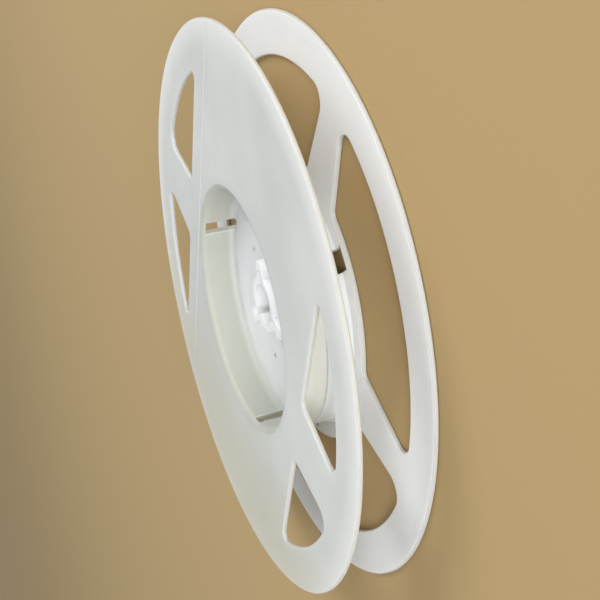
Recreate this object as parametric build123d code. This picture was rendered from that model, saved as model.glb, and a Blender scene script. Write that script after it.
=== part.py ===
from build123d import *
import os

# A plastic reel for carrier tape, in millimetres.
# The reel lies flat on its window-side flange. The origin is on the axis, in the plane of the lower outer face, and +Z
# points out of the label side. Angles are measured from +X towards +Y, as seen from above.
# Two moulded halves make the reel. The label-side half brings the upper half of the drum, the web with the arbor
# collar, and three hooked arms. The window-side half brings the lower half of the drum, with a ledge for each arm.

# Whole reel
reel_radius = 89.0
reel_width = 22.3
flange_thickness = 1.4
rim_chamfer = 0.4
window_chamfer = 0.3
overrun = 5.0

# Drum and web
drum_radius = 40.0
drum_wall = 2.0
recess_depth = 11.6
web_thickness = 1.4
drum_foot_chamfer = 0.9
recess_mouth_rounding = 1.8
window_side_mouth_chamfer = 0.4
floor_chamfer = 0.5
seam_chamfer = 0.3

# Arbor hole, its keyways, and the collar round both
bore_radius = 6.5
keyway_width = 2.2
keyway_reach = 11.0
keyway_count = 3
keyway_angle = 76.0
collar_wall = 2.7
collar_lobe_wall = 1.5
collar_lobe_end = 3.2
collar_lobe_rounding = 1.0
collar_rise = 3.7
collar_edge_chamfer = 0.3

# Label-side flange: a wide band across the flange, and a flared spoke beyond each side of it
band_angle = 45.0
band_beyond_drum = 9.8
label_rim_width = 14.0
label_spoke_root_width = 24.4
label_spoke_tip_width = 19.0

# Window-side flange: four windows between four flared spokes
window_spoke_angle = 42.5
windows_beyond_drum = 6.0
window_rim_width = 13.4
window_spoke_root_width = 19.3
window_spoke_tip_width = 12.0

# Rounded corners of the windows, as shares of how deep a window is along the radius
outer_corner_share = 0.18
inner_corner_share = 0.1
tip_corner_share = 0.08

# Latches: hooked arms under the web, ledges in the lower drum, and the holes that belong to them
latch_count = 3
latch_angle = 14.5
tape_slot_width = 5.0
arm_width = 4.4
arm_thickness = 1.6
arm_length = 6.6
hook_reach = 1.1
hook_lead = 1.3
ledge_reach = 1.4
ledge_width = 6.0
ledge_height = 1.3
ledge_lead = 0.9
release_hole_width = 7.0
release_hole_reach = 4.2
release_notch_height = 2.7
latch_clearance = 0.15
hook_seat_clearance = 0.1

# Worked out from the sizes above
band_half_width = drum_radius + band_beyond_drum
label_window_radius = reel_radius - label_rim_width
label_window_depth = label_window_radius - band_half_width
window_inner_radius = drum_radius + windows_beyond_drum
window_outer_radius = reel_radius - window_rim_width
window_depth = window_outer_radius - window_inner_radius
drum_inner_radius = drum_radius - drum_wall
floor_level = reel_width - recess_depth
seam_level = floor_level - web_thickness
upper_flange_level = reel_width - flange_thickness
ledge_inner_radius = drum_inner_radius - ledge_reach
arm_outer_radius = ledge_inner_radius - latch_clearance
arm_tip_level = seam_level - arm_length
hook_top_level = arm_tip_level + hook_lead
ledge_level = hook_top_level + hook_seat_clearance


def upright(profile, radius_from_axis, bottom, top):
    """Stand a flat profile between two levels, with its own origin at a distance from the axis."""
    return Pos(radius_from_axis, 0, bottom) * extrude(profile, top - bottom)


def radial_block(inner, outer, width, bottom, top):
    """A block across +X, from one radius to another and between two levels."""
    profile = Rectangle(outer - inner, width, align=(Align.MIN, Align.CENTER))
    return upright(profile, inner, bottom, top)


def side_profile(points, width):
    """A solid of constant width across +X, from its outline in radius and height."""
    outline = make_face(Plane.XZ * Polyline(*points, close=True))
    return extrude(outline, width / 2, both=True)


def round_corners(sketch, radius, corner):
    """Round those corners of a sketch that a test picks."""
    return fillet(sketch.vertices().filter_by(corner), radius)


def turned(corners):
    """A turned solid, from the corners of its section: radius, height, and the finish and size of each corner."""
    section = make_face(Polyline(*[(radius, height) for radius, height, finish, size in corners], close=True))
    for radius, height, finish, size in corners:
        if finish:
            section = finish(section.vertices().sort_by_distance((radius, height))[0], size)
    return revolve(Plane.XZ * section, Axis.Z)


def at_latches(solid):
    """The same solid at each latch."""
    return PolarLocations(0, latch_count, start_angle=latch_angle) * solid


def spoke(root_radius, tip_radius, root_width, tip_width):
    """A straight spoke along +X, from the axis to past its tip, with its width given at its root and at its tip."""
    narrowing = (root_width - tip_width) / 2 / (tip_radius - root_radius)
    at_axis = root_width / 2 + narrowing * root_radius
    past_tip = tip_width / 2 - narrowing * overrun
    end = tip_radius + overrun
    return make_face(Polyline((0, -at_axis), (0, at_axis), (end, past_tip), (end, -past_tip), close=True))


def distance_from_axis(point):
    """How far a corner or a point lies from the reel's axis."""
    return (point.X**2 + point.Y**2) ** 0.5


def chamfer_windows(half, levels):
    """Chamfer the edges of the windows on both faces of a flange, before anything else is cut into it."""
    innermost = drum_radius + 2 * drum_foot_chamfer
    outermost = reel_radius - 2 * rim_chamfer
    for level in levels:
        on_face = half.edges().filter_by_position(Axis.Z, level - window_chamfer / 2, level + window_chamfer / 2)
        outlines = on_face.filter_by(lambda e: innermost < distance_from_axis(e.position_at(0.5)) < outermost)
        half = chamfer(outlines, window_chamfer)
    return half


def label_windows():
    """The four windows of the label-side flange: two beyond each side of the band."""
    beyond_band = Pos(band_half_width, 0) * Rectangle(
        label_window_radius, 2 * label_window_radius, align=(Align.MIN, Align.CENTER)
    )
    segment = Circle(label_window_radius) & beyond_band
    pair = segment - spoke(band_half_width, label_window_radius, label_spoke_root_width, label_spoke_tip_width)
    middle_radius = (band_half_width + label_window_radius) / 2
    inner_rounding = inner_corner_share * label_window_depth
    outer_rounding = outer_corner_share * label_window_depth
    tip_rounding = tip_corner_share * label_window_depth
    pair = round_corners(pair, inner_rounding, lambda v: distance_from_axis(v) < middle_radius)
    spoke_side = label_spoke_root_width
    pair = round_corners(
        pair, outer_rounding, lambda v: abs(v.Y) < spoke_side and distance_from_axis(v) > middle_radius
    )
    tip_line = band_half_width + tip_rounding
    pair = round_corners(pair, tip_rounding, lambda v: abs(v.Y) > spoke_side and v.X < tip_line)
    return Sketch() + PolarLocations(0, 2, start_angle=band_angle + 90) * pair


def side_windows():
    """The four windows of the window-side flange, between its spokes."""
    windows = Circle(window_outer_radius) - Circle(window_inner_radius)
    one_spoke = spoke(window_inner_radius, window_outer_radius, window_spoke_root_width, window_spoke_tip_width)
    for angle in (window_spoke_angle, 180 - window_spoke_angle):
        windows -= PolarLocations(0, 2, start_angle=angle) * one_spoke
    middle_radius = (window_inner_radius + window_outer_radius) / 2
    outer_rounding = outer_corner_share * window_depth
    inner_rounding = inner_corner_share * window_depth
    windows = round_corners(windows, outer_rounding, lambda v: distance_from_axis(v) > middle_radius)
    return round_corners(windows, inner_rounding, lambda v: distance_from_axis(v) < middle_radius)


def arbor_hole():
    """The round arbor hole with its keyways."""
    keyway = Rectangle(keyway_reach, keyway_width, align=(Align.MIN, Align.CENTER)) & Circle(keyway_reach)
    return Circle(bore_radius) + PolarLocations(0, keyway_count, start_angle=keyway_angle) * keyway


def collar():
    """The collar round the arbor hole, with a lobe round each keyway, standing out from both faces of the web."""
    lobe = Rectangle(
        keyway_reach + collar_lobe_end, keyway_width + 2 * collar_lobe_wall, align=(Align.MIN, Align.CENTER)
    )
    lobe = round_corners(lobe, collar_lobe_rounding, lambda v: v.X > keyway_reach)
    outline = Circle(bore_radius + collar_wall)
    outline += PolarLocations(0, keyway_count, start_angle=keyway_angle) * lobe
    block = upright(outline, 0, seam_level - collar_rise, floor_level + collar_rise)
    rims = block.faces().sort_by(Axis.Z)
    return chamfer(rims[0].edges() + rims[-1].edges(), collar_edge_chamfer)


def label_side_half():
    """The half that carries the label band, the web, the collar and the hooked arms."""
    half = turned(
        [
            (0, seam_level, None, 0),
            (drum_radius, seam_level, chamfer, seam_chamfer),
            (drum_radius, upper_flange_level, chamfer, drum_foot_chamfer),
            (reel_radius, upper_flange_level, chamfer, rim_chamfer),
            (reel_radius, reel_width, chamfer, rim_chamfer),
            (drum_inner_radius, reel_width, fillet, recess_mouth_rounding),
            (drum_inner_radius, floor_level, chamfer, floor_chamfer),
            (0, floor_level, None, 0),
        ]
    )
    half -= upright(label_windows(), 0, seam_level, reel_width + overrun)
    half = chamfer_windows(half, (upper_flange_level, reel_width))

    half += collar()
    half -= upright(arbor_hole(), 0, -overrun, reel_width + overrun)

    tape_slot = radial_block(
        arm_outer_radius, drum_radius + overrun, tape_slot_width, seam_level - overrun, upper_flange_level
    )
    half -= at_latches(tape_slot)
    arm = side_profile(
        [
            (arm_outer_radius - arm_thickness, floor_level),
            (arm_outer_radius, floor_level),
            (arm_outer_radius, hook_top_level),
            (arm_outer_radius + hook_reach, hook_top_level),
            (arm_outer_radius, arm_tip_level),
            (arm_outer_radius - arm_thickness, arm_tip_level),
        ],
        arm_width,
    )
    half += at_latches(arm)
    return half


def window_side_half():
    """The half with the four windows, the catch ledges and the release holes."""
    half = turned(
        [
            (drum_inner_radius, 0, chamfer, window_side_mouth_chamfer),
            (reel_radius, 0, chamfer, rim_chamfer),
            (reel_radius, flange_thickness, chamfer, rim_chamfer),
            (drum_radius, flange_thickness, chamfer, drum_foot_chamfer),
            (drum_radius, seam_level, chamfer, seam_chamfer),
            (drum_inner_radius, seam_level, None, 0),
        ]
    )
    half -= upright(side_windows(), 0, -overrun, seam_level)
    half = chamfer_windows(half, (0, flange_thickness))

    ledge = side_profile(
        [
            (ledge_inner_radius, ledge_level),
            (drum_radius, ledge_level),
            (drum_radius, ledge_level + ledge_height + ledge_lead),
            (drum_inner_radius, ledge_level + ledge_height + ledge_lead),
            (ledge_inner_radius, ledge_level + ledge_height),
        ],
        ledge_width,
    )
    half += at_latches(ledge & upright(Circle(drum_radius - seam_chamfer), 0, 0, seam_level))
    release_hole = radial_block(
        ledge_inner_radius, drum_radius + release_hole_reach, release_hole_width, -overrun, release_notch_height
    )
    return half - at_latches(release_hole)


os.makedirs("parts", exist_ok=True)
export_step(label_side_half(), "parts/label_side_half.step")
export_step(window_side_half(), "parts/window_side_half.step")
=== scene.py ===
# %% [markdown]
# # A milky plastic reel for carrier tape
# The reel is two moulded halves that snap together. The label-side half has a wide closed band across its flange and
# two flared spokes. The window-side half is mostly openings, with four spokes. Between the two flanges runs the drum
# that the tape winds on, and in the middle is the arbor hole with its three keyways.
#
# The measured model is loaded first and stays where it is. Its shapes are right, so this lesson is mostly about one
# thing: making a plain white plastic look moulded, handled and slightly see-through, and not like paper.

# %% Load the measured model
import math

import bpy
from mathutils import Matrix, Vector


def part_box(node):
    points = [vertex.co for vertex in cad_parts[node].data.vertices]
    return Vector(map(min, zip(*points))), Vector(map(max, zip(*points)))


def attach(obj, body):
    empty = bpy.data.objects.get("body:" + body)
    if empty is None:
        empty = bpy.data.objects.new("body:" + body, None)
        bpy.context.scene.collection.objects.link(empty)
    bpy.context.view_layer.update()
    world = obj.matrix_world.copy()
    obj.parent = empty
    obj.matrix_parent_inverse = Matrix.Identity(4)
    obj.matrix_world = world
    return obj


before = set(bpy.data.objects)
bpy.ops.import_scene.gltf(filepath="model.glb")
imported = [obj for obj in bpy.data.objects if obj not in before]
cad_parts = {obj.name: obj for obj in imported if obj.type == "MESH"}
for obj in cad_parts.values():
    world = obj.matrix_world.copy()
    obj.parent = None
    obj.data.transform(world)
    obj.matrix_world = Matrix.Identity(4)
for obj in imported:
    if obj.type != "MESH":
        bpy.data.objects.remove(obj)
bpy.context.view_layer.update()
scene = bpy.context.scene

# %% [markdown]
# ## Sizes that the finishes follow
# Dust settles in corners, rubbing shows on rims, and the gates sit on a circle round the axis. Each of these finishes
# needs to know where the shape is. They could each carry their own numbers, but then two of them could disagree. So
# the few sizes that they share are written here once, in metres.

# %% Sizes shared by the finishes
MM = 0.001
REEL_WIDTH = 22.3 * MM
FLANGE_THICKNESS = 1.4 * MM
DRUM_RADIUS = 40.0 * MM
DRUM_INNER_RADIUS = 38.0 * MM
RECESS_FLOOR_LEVEL = 10.7 * MM
COLLAR_FOOT_RADIUS = 9.2 * MM
BAND_ANGLE = math.radians(45)
GATE_CIRCLE_RADIUS = 20.3 * MM
GATE_ANGLES = [math.radians(angle) for angle in (0, 120, 240)]
print("upper flange starts at", round((REEL_WIDTH - FLANGE_THICKNESS) / MM, 2), "mm")

# %% [markdown]
# ## The camera
# The reel lies flat on its window side, and the photograph was taken with the reel turned almost edge-on. So the
# camera sits low beside the reel and is rolled a quarter turn. A position that looks right can be found by eye, but a
# better way is to fit it to points that are easy to find in the photograph, such as the corners of the windows. The
# three directions and the place below come from such a fit. It also gives the focal length, in pixels of the
# photograph, and the sensor's width turns that into millimetres.

# %% Camera
SENSOR_WIDTH = 36.0
FOCAL_LENGTH_IN_PIXELS = 1091.83
PHOTO_WIDTH_IN_PIXELS = 600
camera_data = bpy.data.cameras.new("studio_camera")
camera_data.sensor_width = SENSOR_WIDTH
camera_data.sensor_fit = "HORIZONTAL"
camera_data.lens = SENSOR_WIDTH * FOCAL_LENGTH_IN_PIXELS / PHOTO_WIDTH_IN_PIXELS
camera_data.clip_start = 0.01
camera_data.clip_end = 1000.0
camera = bpy.data.objects.new("studio_camera", camera_data)
scene.collection.objects.link(camera)
to_the_right = Vector((0.32153, -0.19401, -0.92681)).normalized()
backwards = Vector((0.94690, 0.06588, 0.31471)).normalized()
upwards = backwards.cross(to_the_right).normalized()
to_the_right = upwards.cross(backwards)
camera_place = Matrix((to_the_right, upwards, backwards)).transposed().to_4x4()
camera_place.translation = Vector((0.32828, 0.02184, 0.11116))
camera.matrix_world = camera_place
scene.camera = camera
scene.view_settings.view_transform = "Standard"
print("lens", round(camera_data.lens, 2), "mm, distance", round(camera_place.translation.length, 3), "m")

# %% [markdown]
# ## Two helpers for node trees
# Paint, light, plastic and small shapes are all made with node trees here. A node tree is quicker to read as a list of
# steps than as many lines of nodes and links. So one helper fills a node's inputs: a plain value is typed into its
# socket, and another node's output is joined to it. The other helper makes a node, with its settings and its inputs,
# in one call.

# %% Node helpers
def set_inputs(tree, node, inputs):
    """Set each named input to a value, or join it to another node's output."""
    for key, value in inputs.items():
        if isinstance(value, bpy.types.NodeSocket):
            tree.links.new(value, node.inputs[key])
        else:
            node.inputs[key].default_value = value


def add_node(tree, kind, inputs=None, **settings):
    """Make a node, with its settings and its inputs."""
    made = tree.nodes.new(kind)
    for key, value in settings.items():
        setattr(made, key, value)
    set_inputs(tree, made, inputs or {})
    return made


print("node helpers ready")

# %% [markdown]
# ## The floor
# The reel was photographed against plain tan board. A pale, matt, sand-coloured floor keeps that warmth and still
# leaves the plastic as the brightest thing in the picture. The floor is much larger than the reel, because a low camera
# sees far across it. It lies a hair below the reel, because two faces in one plane would flicker and streak.

# %% Floor
FLOOR_COLOUR = (0.48, 0.333, 0.148)
FLOOR_ROUGHNESS = 0.9
FLOOR_REACH = 200.0
FLOOR_LEVEL = -0.2 * MM
floor_paint = bpy.data.materials.new("sand_floor_paint")
floor_paint.use_nodes = True
paint_tree = floor_paint.node_tree
paint = {"Base Color": (*FLOOR_COLOUR, 1), "Roughness": FLOOR_ROUGHNESS}
set_inputs(paint_tree, paint_tree.nodes["Principled BSDF"], paint)
floor_mesh = bpy.data.meshes.new("floor")
corners = [(x * FLOOR_REACH, y * FLOOR_REACH, FLOOR_LEVEL) for x, y in ((-1, -1), (1, -1), (1, 1), (-1, 1))]
floor_mesh.from_pydata(corners, [], [(0, 1, 2, 3)])
floor_mesh.materials.append(floor_paint)
floor = bpy.data.objects.new("floor", floor_mesh)
scene.collection.objects.link(floor)
print("floor", 2 * FLOOR_REACH, "m wide, colour", FLOOR_COLOUR)

# %% [markdown]
# ## The even light
# The photograph has almost no hard shadow: the reel is lit from all round, as under a light tent. A ring of many lamps
# could do that, but an even white world does it with one node. Past the end of the floor the camera would see that
# world as a white strip. So camera rays alone get the floor's colour, which costs no extra light on the reel.

# %% World
WORLD_STRENGTH = 0.54
TENT_COLOUR = (0.97, 0.985, 1.0)
world = bpy.data.worlds.new("studio_world")
world.use_nodes = True
scene.world = world
world_tree = world.node_tree
world_tree.nodes.clear()


def world_light(colour):
    """Even light of one colour, as strong as the world's other colour."""
    inputs = {"Color": (*colour, 1), "Strength": WORLD_STRENGTH}
    return add_node(world_tree, "ShaderNodeBackground", inputs).outputs[0]


even_light = world_light(TENT_COLOUR)
backdrop = world_light(FLOOR_COLOUR)
seen_by_camera = add_node(world_tree, "ShaderNodeLightPath").outputs["Is Camera Ray"]
either = add_node(world_tree, "ShaderNodeMixShader", {0: seen_by_camera, 1: even_light, 2: backdrop})
add_node(world_tree, "ShaderNodeOutputWorld", {"Surface": either.outputs[0]})
print("world strength", WORLD_STRENGTH)

# %% [markdown]
# ## The lamps
# Two large soft lamps add a little direction to the even light. One stands high on the side that is up in the
# photograph. The other stands low beside the camera, because the gap between the flanges is narrow, and only light that
# comes in along the camera's own direction reaches the drum and the far flange.

# %% Lamps
LAMP_COLOUR = (0.96, 0.98, 1.0)
LAMP_TARGET = Vector((0.0, 0.0, 0.01))


def soft_lamp(name, place, size, watts):
    """A large round lamp at a place, turned to face the reel."""
    data = bpy.data.lights.new(name, "AREA")
    data.shape = "DISK"
    data.size = size
    data.energy = watts
    data.color = LAMP_COLOUR
    lamp = bpy.data.objects.new(name, data)
    lamp.location = place
    lamp.rotation_euler = (LAMP_TARGET - Vector(place)).to_track_quat("-Z", "Y").to_euler()
    scene.collection.objects.link(lamp)
    return lamp


high_lamp = soft_lamp("high_lamp", place=(0.0, 1.07, 0.90), size=0.9, watts=9.0)
low_lamp = soft_lamp("low_lamp", place=(2.32, -0.33, 0.54), size=0.95, watts=54.0)
print("lamps", [lamp.name for lamp in (high_lamp, low_lamp)])

# %% [markdown]
# ## Small steps that every finish takes
# The finishes below are made of the same few steps: a calculation, a smooth ramp from one value to another, and noise.
# A noise's scale says how many of its spots fit in a metre, while a spot's size is easier to picture, so one helper
# turns the one into the other.

# %% Helpers for calculations and noise
def calculate(tree, operation, *values, clamp=False):
    """A Math node on one to three values, and its result."""
    inputs = dict(enumerate(values))
    return add_node(tree, "ShaderNodeMath", inputs, operation=operation, use_clamp=clamp).outputs[0]


def ramp(tree, value, low, high, to_low=0.0, to_high=1.0):
    """Turn a value's range into another range, with a smooth start and end."""
    ends = {"Value": value, "From Min": low, "From Max": high, "To Min": to_low, "To Max": to_high}
    return add_node(tree, "ShaderNodeMapRange", ends, interpolation_type="SMOOTHSTEP").outputs["Result"]


def noise(tree, dimensions="3D", **inputs):
    """A Noise node's value. In four dimensions its W input serves as a seed."""
    return add_node(tree, "ShaderNodeTexNoise", inputs, noise_dimensions=dimensions).outputs["Fac"]


def per_metre(tree, size):
    """How many times a size fits in a metre."""
    return calculate(tree, "DIVIDE", 1.0, size)


print("calculation helpers ready")

# %% [markdown]
# ## Groups
# Each finish is a shader node group of its own, with named inputs and one result. It could be built inside each
# material, but a group is built once and then used by both halves with their own values. Every group starts from where
# a point lies on the reel, because the object's own coordinates hold for every piece and need no unwrapping.

# %% Helpers for groups
def open_group(name, inputs, output="Mask"):
    """A new shader node group: its tree, its inputs by name, and the socket that its result goes to."""
    tree = bpy.data.node_groups.new(name, "ShaderNodeTree")
    for label, value in inputs.items():
        tree.interface.new_socket(name=label, in_out="INPUT", socket_type="NodeSocketFloat").default_value = value
    tree.interface.new_socket(name=output, in_out="OUTPUT", socket_type="NodeSocketFloat")
    return tree, tree.nodes.new("NodeGroupInput").outputs, tree.nodes.new("NodeGroupOutput").inputs[output]


def use_group(tree, group, **values):
    """Place a group in a tree, with its values, and give its result. An underscore stands for a space in a name."""
    inputs = {key.replace("_", " "): value for key, value in values.items()}
    return add_node(tree, "ShaderNodeGroup", inputs, node_tree=group).outputs[0]


def place_on_reel(tree):
    """Where a point of the surface is: its coordinates, together and apart, and its distance from the axis."""
    coordinates = add_node(tree, "ShaderNodeTexCoord").outputs["Object"]
    parts = add_node(tree, "ShaderNodeSeparateXYZ", {0: coordinates}).outputs
    squares = [calculate(tree, "MULTIPLY", part, part) for part in (parts["X"], parts["Y"])]
    distance = calculate(tree, "SQRT", calculate(tree, "ADD", *squares))
    return coordinates, parts, distance


def from_level(tree, parts, level):
    """How far above or below a level a point lies."""
    return calculate(tree, "ABSOLUTE", calculate(tree, "SUBTRACT", parts["Z"], level))


print("group helpers ready")

# %% [markdown]
# ## Clouds in the plastic
# The reel is moulded in natural, unpainted polystyrene. Light goes a few millimetres into it, and small differences in
# wall and melt show as very soft clouds, lighter in one place and greyer in another. A single colour would look like
# paper. Slow noise on the object's own coordinates gives those clouds. A fourth coordinate serves as the seed, so the
# two halves don't share one pattern.

# %% Group: soft clouds
soft_clouds, given, result = open_group("soft_clouds", {"Size": 30 * MM, "Seed": 0.0}, "Tone")
coordinates, parts, distance = place_on_reel(soft_clouds)
clouds = noise(
    soft_clouds,
    "4D",
    Vector=coordinates,
    W=given["Seed"],
    Scale=per_metre(soft_clouds, given["Size"]),
    Detail=2.5,
    Roughness=0.45,
    Distortion=0.6,
)
soft_clouds.links.new(ramp(soft_clouds, clouds, 0.32, 0.68), result)
print("soft_clouds has", len(soft_clouds.nodes), "nodes")

# %% [markdown]
# ## The skin that the mould gives
# A moulded face copies the steel it was pressed against. Three scales show here. The finest is the grain of the
# blasted steel, too small to see one by one, which softens the gloss. The middle one is the lathe's: the round inserts
# were turned, and their faint rings run round the axis. The largest is the plastic's own, because a thin flange cools
# unevenly and never stays quite flat, so that reflections sway as they cross it. All three go out as heights in
# millimetres, and a Bump node whose distance is one millimetre turns them into a normal.

# %% Group: moulded skin
SKIN_VALUES = {
    "Grain Size": 0.5 * MM,
    "Grain Depth": 0.003,
    "Ring Spacing": 1.1 * MM,
    "Ring Depth": 0.002,
    "Sway Size": 35 * MM,
    "Sway Depth": 0.05,
    "Seed": 0.0,
}
moulded_skin, given, result = open_group("moulded_skin", SKIN_VALUES, "Height")
coordinates, parts, distance = place_on_reel(moulded_skin)
grain = noise(moulded_skin, Vector=coordinates, Scale=per_metre(moulded_skin, given["Grain Size"]), Detail=1.0)
sway = noise(
    moulded_skin,
    "4D",
    Vector=coordinates,
    W=given["Seed"],
    Scale=per_metre(moulded_skin, given["Sway Size"]),
    Detail=1.0,
    Roughness=0.3,
)
ring = calculate(moulded_skin, "DIVIDE", distance, given["Ring Spacing"])
rings = noise(moulded_skin, "1D", W=ring, Scale=1.0, Detail=2.0, Roughness=0.7)
height = calculate(moulded_skin, "MULTIPLY", grain, given["Grain Depth"])
height = calculate(moulded_skin, "MULTIPLY_ADD", rings, given["Ring Depth"], height)
height = calculate(moulded_skin, "MULTIPLY_ADD", sway, given["Sway Depth"], height)
moulded_skin.links.new(height, result)
print("moulded_skin has", len(moulded_skin.nodes), "nodes")

# %% [markdown]
# ## Edges that hands and feeders rub
# A reel is dropped into feeders, stacked and wiped, and its rims and window edges take that. On white plastic an edge
# doesn't lose paint. It gets a little greyer and duller, in patches. To find the edges, a Bevel node rounds the
# surface's normal near every edge, and the group compares it with the real normal: where the two differ, there is an
# edge. Noise then breaks the line up, because an even line looks drawn.

# %% Group: rubbed edges
rubbed_edges, given, result = open_group("rubbed_edges", {"Reach": 0.6 * MM, "Patch Size": 6 * MM, "Amount": 1.0})
coordinates, parts, distance = place_on_reel(rubbed_edges)
rounded_normal = add_node(rubbed_edges, "ShaderNodeBevel", {"Radius": given["Reach"]}, samples=6).outputs[0]
true_normal = add_node(rubbed_edges, "ShaderNodeNewGeometry").outputs["Normal"]
normals = {0: rounded_normal, 1: true_normal}
likeness = add_node(rubbed_edges, "ShaderNodeVectorMath", normals, operation="DOT_PRODUCT").outputs["Value"]
edge = ramp(rubbed_edges, likeness, 0.995, 0.86)
patches = noise(rubbed_edges, Vector=coordinates, Scale=per_metre(rubbed_edges, given["Patch Size"]), Detail=3.0)
broken = calculate(rubbed_edges, "MULTIPLY", edge, ramp(rubbed_edges, patches, 0.35, 0.62, 0.25, 1.0))
rubbed_edges.links.new(calculate(rubbed_edges, "MULTIPLY", broken, given["Amount"], clamp=True), result)
print("rubbed_edges has", len(rubbed_edges.nodes), "nodes")

# %% [markdown]
# ## Dust and painted shade in the corners
# Where the flanges meet the drum, where the recess wall meets its floor and where the collar stands on the web, a cloth
# doesn't reach. A little grey dust stays there, and the corner also looks darker because it faces more plastic than
# sky, so the same grey is painted shade as well. Every one of these corners is a circle round the axis, so one group
# does them all: it is given a radius and a level, and its mask fades with the distance from that circle. Noise makes
# the grey reach further in one place than in another.

# %% Group: corner dust and painted shade
corner_dust_and_shade, given, result = open_group("corner_dust_and_shade", {"Radius": 40 * MM, "Level": 0.0, "Reach": 4 * MM})
coordinates, parts, distance = place_on_reel(corner_dust_and_shade)
across = calculate(corner_dust_and_shade, "SUBTRACT", distance, given["Radius"])
along = calculate(corner_dust_and_shade, "SUBTRACT", parts["Z"], given["Level"])
squares = [calculate(corner_dust_and_shade, "MULTIPLY", side, side) for side in (across, along)]
away = calculate(corner_dust_and_shade, "SQRT", calculate(corner_dust_and_shade, "ADD", *squares))
patches = noise(corner_dust_and_shade, Vector=coordinates, Scale=140.0, Detail=3.0)
uneven = calculate(corner_dust_and_shade, "MULTIPLY_ADD", patches, 0.8, 0.6)
reach_here = calculate(corner_dust_and_shade, "MULTIPLY", given["Reach"], uneven)
corner_dust_and_shade.links.new(ramp(corner_dust_and_shade, calculate(corner_dust_and_shade, "DIVIDE", away, reach_here), 1.0, 0.0), result)
print("corner_dust_and_shade has", len(corner_dust_and_shade.nodes), "nodes")

# %% [markdown]
# ## Scuffs from use
# The broad faces carry hair-thin scuffs, most of them running round the axis, because a reel turns in its feeder.
# Stretched noise makes them: the pattern's coordinates are the angle, used slowly, and the distance from the axis,
# used fast. The angle has a seam where it jumps, so its sine and cosine are used in its place, which have none. A
# hair's breadth is added to the distance first, so that nothing is divided by zero on the axis. A mask of broad patches
# keeps most of the face clean.

# %% Group: turning scuffs
ANGLE_STRETCH = 3.0
HAIR_BREADTH = 1e-6
turning_scuffs, given, result = open_group("turning_scuffs", {"Spacing": 0.7 * MM, "Seed": 0.0})
coordinates, parts, distance = place_on_reel(turning_scuffs)
off_axis = calculate(turning_scuffs, "ADD", distance, HAIR_BREADTH)
cosine, sine = [calculate(turning_scuffs, "DIVIDE", parts[name], off_axis) for name in ("X", "Y")]
stretched = {
    "X": calculate(turning_scuffs, "MULTIPLY", cosine, ANGLE_STRETCH),
    "Y": calculate(turning_scuffs, "MULTIPLY", sine, ANGLE_STRETCH),
    "Z": calculate(turning_scuffs, "DIVIDE", distance, given["Spacing"]),
}
round_axis = add_node(turning_scuffs, "ShaderNodeCombineXYZ", stretched).outputs[0]
hairs = noise(turning_scuffs, "4D", Vector=round_axis, W=given["Seed"], Scale=1.0, Detail=3.0, Roughness=0.6)
worn_places = noise(turning_scuffs, "4D", Vector=coordinates, W=given["Seed"], Scale=26.0, Detail=1.0)
thin = ramp(turning_scuffs, hairs, 0.60, 0.72)
scuffed = calculate(turning_scuffs, "MULTIPLY", thin, ramp(turning_scuffs, worn_places, 0.45, 0.65))
turning_scuffs.links.new(scuffed, result)
print("turning_scuffs has", len(turning_scuffs.nodes), "nodes")

# %% [markdown]
# ## Painted shade on the outer faces
# The outer faces get more of the lamps' light than the insides, so their colour is made a little greyer in soft
# patches, and this grey is painted shade. It is weaker at the rim, and the insides stay whiter. The grey could be
# painted onto the faces by hand. A mask that only needs a point's place is less work and follows the shape: it is full
# at the level of the outer face and fades just below it, noise thins it in patches, and it grows weaker across the rim.

# %% Group: painted shade on the outer faces
OUTER_FACE_SHADE_VALUES = {
    "Face Level": REEL_WIDTH,
    "Depth": 1.2 * MM,
    "Patchiness": 0.55,
    "Rim Start": 79 * MM,
    "Rim End": 88.5 * MM,
}
painted_outer_face_shade, given, result = open_group("painted_outer_face_shade", OUTER_FACE_SHADE_VALUES)
coordinates, parts, distance = place_on_reel(painted_outer_face_shade)
from_face = from_level(painted_outer_face_shade, parts, given["Face Level"])
near_face = ramp(painted_outer_face_shade, calculate(painted_outer_face_shade, "DIVIDE", from_face, given["Depth"]), 1.0, 0.2)
shade_patches = noise(painted_outer_face_shade, Vector=coordinates, Scale=26.0, Detail=3.0)
thinned = calculate(painted_outer_face_shade, "MULTIPLY", shade_patches, given["Patchiness"])
kept = calculate(painted_outer_face_shade, "MULTIPLY", near_face, calculate(painted_outer_face_shade, "SUBTRACT", 1.0, thinned))
at_rim = ramp(painted_outer_face_shade, distance, given["Rim Start"], given["Rim End"], 1.0, 0.6)
painted_outer_face_shade.links.new(calculate(painted_outer_face_shade, "MULTIPLY", kept, at_rim), result)
print("painted_outer_face_shade has", len(painted_outer_face_shade.nodes), "nodes")

# %% [markdown]
# ## The leaking wall of the recess
# The recess wall is a thin ring with a dark gap behind it. Light leaks out through it, so it looks greyer and warmer
# than the floor beside it. The renderer could find that by itself only from a wall as thin and as clear as the real
# one, and neither is known. So a mask does it: full between two radii and above the floor, and fading at both ends.

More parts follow.
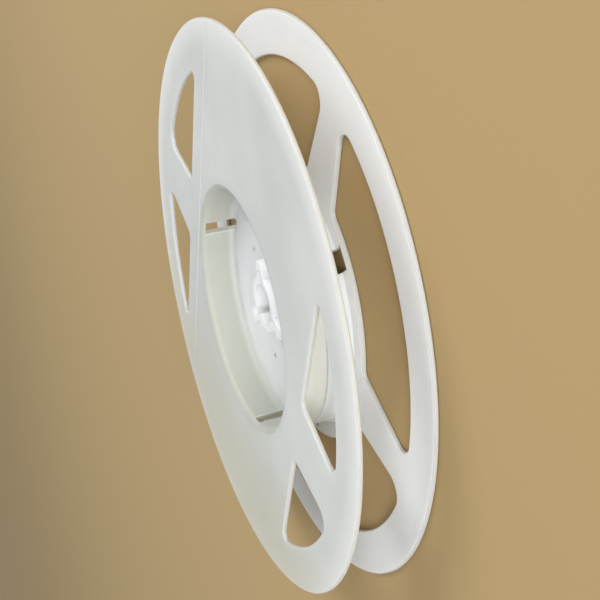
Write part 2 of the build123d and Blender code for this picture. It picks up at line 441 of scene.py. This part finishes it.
# %% Group: leaking wall
RECESS_WALL_VALUES = {
    "Inner Radius": 37.4 * MM,
    "Mouth Radius": 39.8 * MM,
    "Floor Level": RECESS_FLOOR_LEVEL,
    "Rise": 3 * MM,
}
leaking_wall, given, result = open_group("leaking_wall", RECESS_WALL_VALUES)
coordinates, parts, distance = place_on_reel(leaking_wall)
outside_floor = calculate(leaking_wall, "GREATER_THAN", distance, given["Inner Radius"])
share_of_mouth = calculate(leaking_wall, "DIVIDE", distance, given["Mouth Radius"])
in_wall = calculate(leaking_wall, "MULTIPLY", outside_floor, ramp(leaking_wall, share_of_mouth, 0.994, 1.0, 1.0, 0.0))
full_level = calculate(leaking_wall, "ADD", given["Floor Level"], given["Rise"])
above_floor = ramp(leaking_wall, parts["Z"], given["Floor Level"], full_level)
leaking_wall.links.new(calculate(leaking_wall, "MULTIPLY", in_wall, above_floor), result)
print("leaking_wall has", len(leaking_wall.nodes), "nodes")

# %% [markdown]
# ## The warm, darker side
# One side of the reel is painted a little warmer and darker. This is painted shade, with the warmth of light bounced
# from the tan board. That change is as broad as the reel, so noise would be too busy for it, and a slow ramp across the
# part is enough. The group measures how far a point lies towards that side, from the cosine and the sine of its
# direction.

# %% Group: painted warm shade on one side
warm_shaded_side, given, result = open_group("warm_shaded_side", {"Direction": 0.0, "Start": 15 * MM, "End": 70 * MM})
coordinates, parts, distance = place_on_reel(warm_shaded_side)
along_x = calculate(warm_shaded_side, "MULTIPLY", parts["X"], calculate(warm_shaded_side, "COSINE", given["Direction"]))
along_y = calculate(warm_shaded_side, "MULTIPLY", parts["Y"], calculate(warm_shaded_side, "SINE", given["Direction"]))
toward_light = calculate(warm_shaded_side, "ADD", along_x, along_y)
warm_shaded_side.links.new(ramp(warm_shaded_side, toward_light, given["Start"], given["End"]), result)
print("warm_shaded_side has", len(warm_shaded_side.nodes), "nodes")

# %% [markdown]
# ## Matt walls with painted shade
# The walls of the rims and windows are only as high as a flange is thick. They face the low lamp squarely, so bright
# plastic would outline every window in white. On the real reel they blend into the faces. They come from the sides of
# the mould, which are rougher than its polished faces and leave a skin that is matt. Their greyer colour is painted
# shade, which keeps them as dark as the faces beside them. Those faces could get a material of their own, but the
# measured meshes keep one each, so a mask finds them: a point is on such a wall where it lies well inside the
# thickness of a flange, and outside the drum.

# %% Group: matt walls with painted shade
FLANGE_WALL_VALUES = {"Middle Level": FLANGE_THICKNESS / 2, "Half Height": 0.69 * MM, "Drum Side": 44 * MM}
matt_and_shaded_walls, given, result = open_group("matt_and_shaded_walls", FLANGE_WALL_VALUES)
coordinates, parts, distance = place_on_reel(matt_and_shaded_walls)
from_middle = from_level(matt_and_shaded_walls, parts, given["Middle Level"])
on_wall = ramp(matt_and_shaded_walls, calculate(matt_and_shaded_walls, "DIVIDE", from_middle, given["Half Height"]), 1.0, 0.92)
outside_drum = calculate(matt_and_shaded_walls, "GREATER_THAN", distance, given["Drum Side"])
matt_and_shaded_walls.links.new(calculate(matt_and_shaded_walls, "MULTIPLY", on_wall, outside_drum), result)
print("matt_and_shaded_walls has", len(matt_and_shaded_walls.nodes), "nodes")

# %% [markdown]
# ## Blush round the gates
# Molten plastic enters the label-side half at three small gates on its web. It cools fastest there, and leaves a cloudy
# ring round each gate that is a little greyer and duller than the rest. The group finds the distance to the nearest of
# the three gates and fades out from it.

# %% Group: gate blush
gate_blush, given, result = open_group("gate_blush", {"Reach": 8 * MM})
coordinates, parts, distance = place_on_reel(gate_blush)
to_gates = []
for angle in GATE_ANGLES:
    gate = (GATE_CIRCLE_RADIUS * math.cos(angle), GATE_CIRCLE_RADIUS * math.sin(angle), RECESS_FLOOR_LEVEL)
    ends = {0: coordinates, 1: gate}
    to_gates.append(add_node(gate_blush, "ShaderNodeVectorMath", ends, operation="DISTANCE").outputs["Value"])
nearest = to_gates[0]
for to_gate in to_gates[1:]:
    nearest = calculate(gate_blush, "MINIMUM", nearest, to_gate)
gate_blush.links.new(ramp(gate_blush, calculate(gate_blush, "DIVIDE", nearest, given["Reach"]), 1.0, 0.1), result)
print("gate_blush has", len(gate_blush.nodes), "nodes")

# %% [markdown]
# ## The plastic of both halves
# Both halves are moulded in the same milky plastic, but not in the same mould or from the same batch, so the two
# materials share every group and differ in values. The parts of the finish are laid over each other, from the broadest
# to the finest: the plastic's own colour and clouds, the painted shade on the outer face and the painted warm shade on
# one side, the matt walls with their painted shade, then on the label side the recess wall and the blush at the gates,
# the dust and painted shade in the corners, and last the rubbed edges and scuffs. Each layer also makes the plastic a
# little duller where it lies.
#
# A subsurface weight lets light travel a few millimetres inside, which lightens thin flanges and softens every edge.
# That weight and its reach are the same all over, so they sit on the shader's own sockets.

# %% Colours and constants of the plastic
# The first three colours are painted shade: warm on one side, grey on the flange walls and on the recess wall. The dust
# colour is dust and painted shade at once.
WARM_SHADE_COLOUR = (0.545, 0.525, 0.41)
WALL_SHADE_COLOUR = (0.53, 0.535, 0.52)
LEAKING_COLOUR = (0.40, 0.40, 0.34)
BLUSH_COLOUR = (0.76, 0.76, 0.72)
DUST_AND_SHADE_COLOUR = (0.47, 0.49, 0.44)
RUBBED_COLOUR = (0.60, 0.60, 0.57)
SCUFFED_COLOUR = (0.66, 0.65, 0.60)
# The direction of the side that gets the painted warm shade.
WARM_SHADE_DIRECTION = math.radians(228)
SCUFF_DEPTH = 0.004  # in millimetres, like the heights of the skin
REFRACTION = 1.55
REACH_OF_RED_GREEN_BLUE = (1.0, 0.97, 0.90)
print("the daylight came from", round(math.degrees(WARM_SHADE_DIRECTION)), "degrees")

# %% Plastic material
def milky_plastic(
    name,
    colour,
    cloud_colour,
    outer_face_shade_colour,
    outer_face_level,
    flange_middle,
    seed,
    dusty_and_shaded_corners,
    edge_amount,
    roughness,
    light_reach,
    recess,
    warm_shade_amount,
):
    """Milky moulded plastic, with its clouds, skin, painted shade on the outer face and one warm side, matt walls with
    painted shade, dust and painted shade in corners, edges and scuffs.
    """
    material = bpy.data.materials.new(name)
    material.use_nodes = True
    tree = material.node_tree
    surface, dull = (*colour, 1), roughness

    def lay_over(mask, above, strength, dulling):
        """Lay a colour over the surface where a mask is full, and make the plastic duller there."""
        nonlocal surface, dull
        amount = calculate(tree, "MULTIPLY", mask, strength)
        mixed = add_node(tree, "ShaderNodeMix", {0: amount, 6: surface, 7: (*above, 1)}, data_type="RGBA")
        surface = mixed.outputs[2]
        dull = calculate(tree, "MULTIPLY_ADD", mask, dulling, dull)

    clouds = use_group(tree, soft_clouds, Size=34 * MM, Seed=seed)
    lay_over(clouds, cloud_colour, strength=0.55, dulling=0.05)
    # Painted shade: the outer face is made greyer in soft patches.
    outer_face_shade = use_group(tree, painted_outer_face_shade, Face_Level=outer_face_level)
    lay_over(outer_face_shade, outer_face_shade_colour, strength=1.0, dulling=0.04)
    # Painted shade: one side is made warmer and darker.
    warm_shade = use_group(tree, warm_shaded_side, Direction=WARM_SHADE_DIRECTION)
    lay_over(warm_shade, WARM_SHADE_COLOUR, strength=warm_shade_amount, dulling=0.0)
    # Painted shade on the flange walls; the dulling there is their real matt skin.
    walls = use_group(tree, matt_and_shaded_walls, Middle_Level=flange_middle)
    lay_over(walls, WALL_SHADE_COLOUR, strength=1.0, dulling=0.12)
    if recess:
        lay_over(use_group(tree, leaking_wall), LEAKING_COLOUR, strength=0.9, dulling=0.30)
        lay_over(use_group(tree, gate_blush, Reach=9 * MM), BLUSH_COLOUR, strength=0.30, dulling=0.08)
    # Grey dust in the corners, which is painted shade there as well.
    for radius, level, reach, strength in dusty_and_shaded_corners:
        dust_and_shade = use_group(tree, corner_dust_and_shade, Radius=radius, Level=level, Reach=reach)
        lay_over(dust_and_shade, DUST_AND_SHADE_COLOUR, strength=strength, dulling=0.12)
    rubbed = use_group(tree, rubbed_edges, Reach=0.7 * MM, Patch_Size=7 * MM, Amount=edge_amount)
    lay_over(rubbed, RUBBED_COLOUR, strength=0.85, dulling=0.14)
    scuffs = use_group(tree, turning_scuffs, Spacing=0.8 * MM, Seed=seed + 3.0)
    lay_over(scuffs, SCUFFED_COLOUR, strength=0.20, dulling=0.12)

    skin = use_group(tree, moulded_skin, Seed=seed)
    height = calculate(tree, "MULTIPLY_ADD", scuffs, -SCUFF_DEPTH, skin)
    bump = add_node(tree, "ShaderNodeBump", {"Height": height, "Strength": 1.0, "Distance": MM})
    shader_inputs = {
        "Base Color": surface,
        "Roughness": dull,
        "Normal": bump.outputs["Normal"],
        "IOR": REFRACTION,
        "Subsurface Weight": 1.0,
        "Subsurface Radius": REACH_OF_RED_GREEN_BLUE,
        "Subsurface Scale": light_reach,
    }
    set_inputs(tree, tree.nodes["Principled BSDF"], shader_inputs)
    return material


print("the plastic is ready to be used")

# %% [markdown]
# ## The values of each half
# In the photograph the label side's outer face is greyer, and one side of it warmer, than what is seen of the window
# side, so the two halves get their own colours and amounts; that grey and that warmth are painted shade. Each dusty and
# shaded corner is a circle: its radius, its level, how far the grey reaches and how strongly it covers. The widest ones
# cover the middle of the drum between the flanges, and there the grey is painted shade.

# %% Materials of the two halves
LABEL_FLANGE_MIDDLE = REEL_WIDTH - FLANGE_THICKNESS / 2
WINDOW_FLANGE_MIDDLE = FLANGE_THICKNESS / 2
label_half_plastic = milky_plastic(
    "milky_label_half_plastic",
    colour=(0.950, 0.955, 0.940),
    cloud_colour=(0.925, 0.930, 0.910),
    # The outer face's colour below is painted shade.
    outer_face_shade_colour=(0.468, 0.482, 0.460),
    outer_face_level=REEL_WIDTH,
    flange_middle=LABEL_FLANGE_MIDDLE,
    seed=1.7,
    dusty_and_shaded_corners=[
        (DRUM_INNER_RADIUS, RECESS_FLOOR_LEVEL, 2.6 * MM, 0.30),
        (COLLAR_FOOT_RADIUS, RECESS_FLOOR_LEVEL, 2.2 * MM, 0.30),
        (DRUM_RADIUS, REEL_WIDTH - FLANGE_THICKNESS, 3.2 * MM, 0.35),
        # Painted shade across the middle of the drum, between the flanges.
        (DRUM_RADIUS, 13.0 * MM, 9.0 * MM, 0.60),
    ],
    edge_amount=0.8,
    roughness=0.34,
    light_reach=3.5 * MM,
    recess=True,
    warm_shade_amount=0.80,
)
window_half_plastic = milky_plastic(
    "milky_window_half_plastic",
    colour=(0.905, 0.930, 0.950),
    cloud_colour=(0.880, 0.900, 0.910),
    outer_face_shade_colour=(0.830, 0.830, 0.800),
    outer_face_level=0.0,
    flange_middle=WINDOW_FLANGE_MIDDLE,
    seed=5.2,
    dusty_and_shaded_corners=[
        (DRUM_RADIUS, FLANGE_THICKNESS, 3.2 * MM, 0.30),
        # Painted shade across the middle of the drum, between the flanges.
        (DRUM_RADIUS, 7.0 * MM, 6.0 * MM, 0.55),
        (DRUM_INNER_RADIUS, 0.0, 2.4 * MM, 0.30),
    ],
    edge_amount=1.0,
    roughness=0.36,
    light_reach=2.0 * MM,
    recess=False,
    warm_shade_amount=0.40,
)
print("materials", [material.name for material in (label_half_plastic, window_half_plastic)])

# %% [markdown]
# ## Dress the two halves
# The measured meshes stay as they are. Each only gets its material, in every slot that it has.

# %% Assign the plastic
for node_name, material in (("label_side_half", label_half_plastic), ("window_side_half", window_half_plastic)):
    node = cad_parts[node_name]
    node.data.materials.clear()
    node.data.materials.append(material)
    low, high = [round(corner[2] / MM, 2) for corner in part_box(node_name)]
    print(node_name, "has", len(node.data.polygons), "faces, from", low, "to", high, "mm")

# %% [markdown]
# ## Small shapes from Geometry Nodes
# Two details are too fine for the measured model: the gate marks and a low lip. Both could be modelled by hand, but
# each is a plain form that is repeated or swept, and a Geometry Nodes tree with named sizes says that in a few steps.
# Both trees begin and end alike, so two helpers do that. A third runs a tree once on an empty mesh and keeps the result
# as a plain mesh. It sets each input by its identifier, which stays the same even if a label changes.

# %% Helpers for Geometry Nodes
def open_shape(name, sizes, whole_numbers=()):
    """A new Geometry Nodes tree that takes sizes, whole numbers and a plastic, and its inputs by name."""
    tree = bpy.data.node_groups.new(name, "GeometryNodeTree")
    for label in sizes:
        tree.interface.new_socket(name=label, in_out="INPUT", socket_type="NodeSocketFloat")
    for label in whole_numbers:
        tree.interface.new_socket(name=label, in_out="INPUT", socket_type="NodeSocketInt")
    tree.interface.new_socket(name="Plastic", in_out="INPUT", socket_type="NodeSocketMaterial")
    tree.interface.new_socket(name="Shape", in_out="OUTPUT", socket_type="NodeSocketGeometry")
    return tree, tree.nodes.new("NodeGroupInput").outputs


def add_step(tree, kind, inputs, **settings):
    """Make a node, and give its first output, which is all that most steps need."""
    return add_node(tree, kind, inputs, **settings).outputs[0]


def close_shape(tree, geometry, plastic):
    """Make a tree's instances real, give the shape its plastic, and send it out."""
    real = add_step(tree, "GeometryNodeRealizeInstances", {"Geometry": geometry})
    dressed = add_step(tree, "GeometryNodeSetMaterial", {"Geometry": real, "Material": plastic})
    add_node(tree, "NodeGroupOutput", {"Shape": dressed})


def bake_tree(name, tree, values):
    """Run a Geometry Nodes tree once and keep what it makes as a plain mesh object."""
    carrier = bpy.data.objects.new(name + "_carrier", bpy.data.meshes.new(name + "_carrier"))
    scene.collection.objects.link(carrier)
    modifier = carrier.modifiers.new("nodes", "NODES")
    modifier.node_group = tree
    for item in tree.interface.items_tree:
        if item.item_type == "SOCKET" and item.in_out == "INPUT" and item.name in values:
            modifier[item.identifier] = values[item.name]
    evaluated = carrier.evaluated_get(bpy.context.evaluated_depsgraph_get())
    mesh = bpy.data.meshes.new_from_object(evaluated)
    carrier.modifiers.remove(modifier)
    bpy.data.objects.remove(carrier)
    mesh.name = name
    finishes = [finish for finish in mesh.materials if finish]
    mesh.materials.clear()
    mesh.materials.append(finishes[0])
    mesh.polygons.foreach_set("material_index", [0] * len(mesh.polygons))
    piece = bpy.data.objects.new(name, mesh)
    scene.collection.objects.link(piece)
    return piece


print("shape helpers ready")

# %% [markdown]
# ## Gate marks on the web
# On the real reel three small marks stand on the floor of the recess, a third of a turn apart. They are where the
# plastic came in: when the mould opened, each thread of plastic tore off and left a broken nib inside a low ring. A low
# cone with a soft ring round its foot stands on each of three points of a circle. A seeded random turn and size keep
# the three nibs from being copies, since no two threads tear alike. The marks belong to the label-side half, so they
# ride with the reel and take that half's finish.

# %% Geometry Nodes: gate marks
GATE_SIZES = {
    "Circle Radius": GATE_CIRCLE_RADIUS,
    "Floor Level": RECESS_FLOOR_LEVEL - 0.04 * MM,
    "Ring Radius": 0.80 * MM,
    "Ring Thickness": 0.24 * MM,
    "Nib Foot Radius": 0.42 * MM,
    "Nib Top Radius": 0.20 * MM,
    "Nib Height": 0.50 * MM,
}
LEAST_TURN, MOST_TURN = (0.0, 0.0, 0.0), (0.05, 0.05, 2 * math.pi)
LEAST_SCALE, MOST_SCALE = (0.94, 0.94, 0.7), (1.06, 1.06, 1.1)
gate_tree, given = open_shape("gate_marks_tree", GATE_SIZES, ["Count", "Seed"])
circle = {"Vertices": given["Count"], "Radius": given["Circle Radius"]}
gate_circle = add_step(gate_tree, "GeometryNodeMeshCircle", circle)
to_floor = add_step(gate_tree, "ShaderNodeCombineXYZ", {"Z": given["Floor Level"]})
gate_points = add_step(gate_tree, "GeometryNodeTransform", {"Geometry": gate_circle, "Translation": to_floor})
cone = {
    "Vertices": 20,
    "Side Segments": 3,
    "Fill Segments": 2,
    "Radius Top": given["Nib Top Radius"],
    "Radius Bottom": given["Nib Foot Radius"],
    "Depth": given["Nib Height"],
}
nib = add_step(gate_tree, "GeometryNodeMeshCone", cone)
half_ring = calculate(gate_tree, "MULTIPLY", given["Ring Thickness"], 0.5)
path, section = [
    add_step(gate_tree, "GeometryNodeCurvePrimitiveCircle", {"Resolution": resolution, "Radius": radius})
    for resolution, radius in ((40, given["Ring Radius"]), (10, half_ring))
]
ring = add_step(gate_tree, "GeometryNodeCurveToMesh", {"Curve": path, "Profile Curve": section})
one_mark = gate_tree.nodes.new("GeometryNodeJoinGeometry")
for shape in (nib, ring):
    gate_tree.links.new(shape, one_mark.inputs[0])
turn, spread = [
    add_step(
        gate_tree,
        "FunctionNodeRandomValue",
        {"Seed": given["Seed"], "Min": least, "Max": most},
        data_type="FLOAT_VECTOR",
    )
    for least, most in ((LEAST_TURN, MOST_TURN), (LEAST_SCALE, MOST_SCALE))
]
stood = {"Points": gate_points, "Instance": one_mark.outputs[0], "Rotation": turn, "Scale": spread}
close_shape(gate_tree, add_step(gate_tree, "GeometryNodeInstanceOnPoints", stood), given["Plastic"])
print("gate_marks_tree has", len(gate_tree.nodes), "nodes")

# %% Bake the gate marks
CREASE_ANGLE = math.radians(50)
gate_values = {**GATE_SIZES, "Count": len(GATE_ANGLES), "Seed": 4, "Plastic": label_half_plastic}
gate_marks = bake_tree("gate_marks", gate_tree, gate_values)
gate_marks.data.shade_smooth()
gate_marks.data.set_sharp_from_angle(angle=CREASE_ANGLE)
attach(gate_marks, "root")
print("gate_marks has", len(gate_marks.data.polygons), "faces in", gate_marks.data.materials[0].name)

# %% [markdown]
# ## The lip of the label field
# On the band a fine light line can just be made out, parallel to the band's edge. It is one side of the field that a
# label is stuck in: a very low lip, less than a tenth of a millimetre high, that rises gently from the field and drops
# at its far side. The field is left empty. A path and a section are all that a lip takes, so Geometry Nodes sweep the
# section along the path. The sweep turns the section upside down, so its foot is drawn at the top.
#
# Light that travels inside a piece can't cross from one mesh into another, and leaves a dark seam there. The lip
# therefore gets a lighter plastic, with almost no reach for the light.

# %% Plastic for the lip
label_lip_plastic = milky_plastic(
    "milky_label_lip_plastic",
    colour=(0.72, 0.73, 0.71),
    cloud_colour=(0.70, 0.71, 0.69),
    outer_face_shade_colour=(0.70, 0.71, 0.69),
    outer_face_level=REEL_WIDTH,
    flange_middle=LABEL_FLANGE_MIDDLE,
    seed=1.7,
    dusty_and_shaded_corners=[],
    edge_amount=0.0,
    roughness=0.36,
    light_reach=0.05 * MM,
    recess=False,
    warm_shade_amount=0.55,
)
print("the lip gets", label_lip_plastic.name)

# %% Geometry Nodes: label field lip
LIP_SIZES = {
    "From Middle": 41.0 * MM,
    "Half Length": 77.8 * MM,
    "Level": REEL_WIDTH + 0.01 * MM,
    "Foot Width": 1.40 * MM,
    "Top Width": 0.20 * MM,
    "Height": 0.08 * MM,
    "Lean": 0.55 * MM,
    "Band Angle": BAND_ANGLE,
}
lip_tree, given = open_shape("label_field_lip_tree", LIP_SIZES)
half_back = calculate(lip_tree, "MULTIPLY", given["Half Length"], -1.0)
start, end = [
    add_step(lip_tree, "ShaderNodeCombineXYZ", {"X": along, "Y": given["From Middle"], "Z": given["Level"]})
    for along in (half_back, given["Half Length"])
]
path = add_step(lip_tree, "GeometryNodeCurvePrimitiveLine", {"Start": start, "End": end})
steady_path = add_step(lip_tree, "GeometryNodeSetCurveNormal", {"Curve": path}, mode="Z_UP")
trapezoid = {
    "Bottom Width": given["Top Width"],
    "Top Width": given["Foot Width"],
    "Height": given["Height"],
    "Offset": given["Lean"],
}
section = add_step(lip_tree, "GeometryNodeCurvePrimitiveQuadrilateral", trapezoid, mode="TRAPEZOID")
sweep = {"Curve": steady_path, "Profile Curve": section, "Fill Caps": True}
straight_lip = add_step(lip_tree, "GeometryNodeCurveToMesh", sweep)
band_turn = add_step(lip_tree, "ShaderNodeCombineXYZ", {"Z": given["Band Angle"]})
turned_lip = add_step(lip_tree, "GeometryNodeTransform", {"Geometry": straight_lip, "Rotation": band_turn})
close_shape(lip_tree, turned_lip, given["Plastic"])
print("label_field_lip_tree has", len(lip_tree.nodes), "nodes")

# %% Bake the label field lip
label_field_lip = bake_tree("label_field_lip", lip_tree, {**LIP_SIZES, "Plastic": label_lip_plastic})
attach(label_field_lip, "root")
lip_points = [vertex.co for vertex in label_field_lip.data.vertices]
print("the lip reaches", round(max(point.z for point in lip_points) / MM, 3), "mm up")
print("and", round(max(point.to_2d().length for point in lip_points) / MM, 2), "mm from the axis")
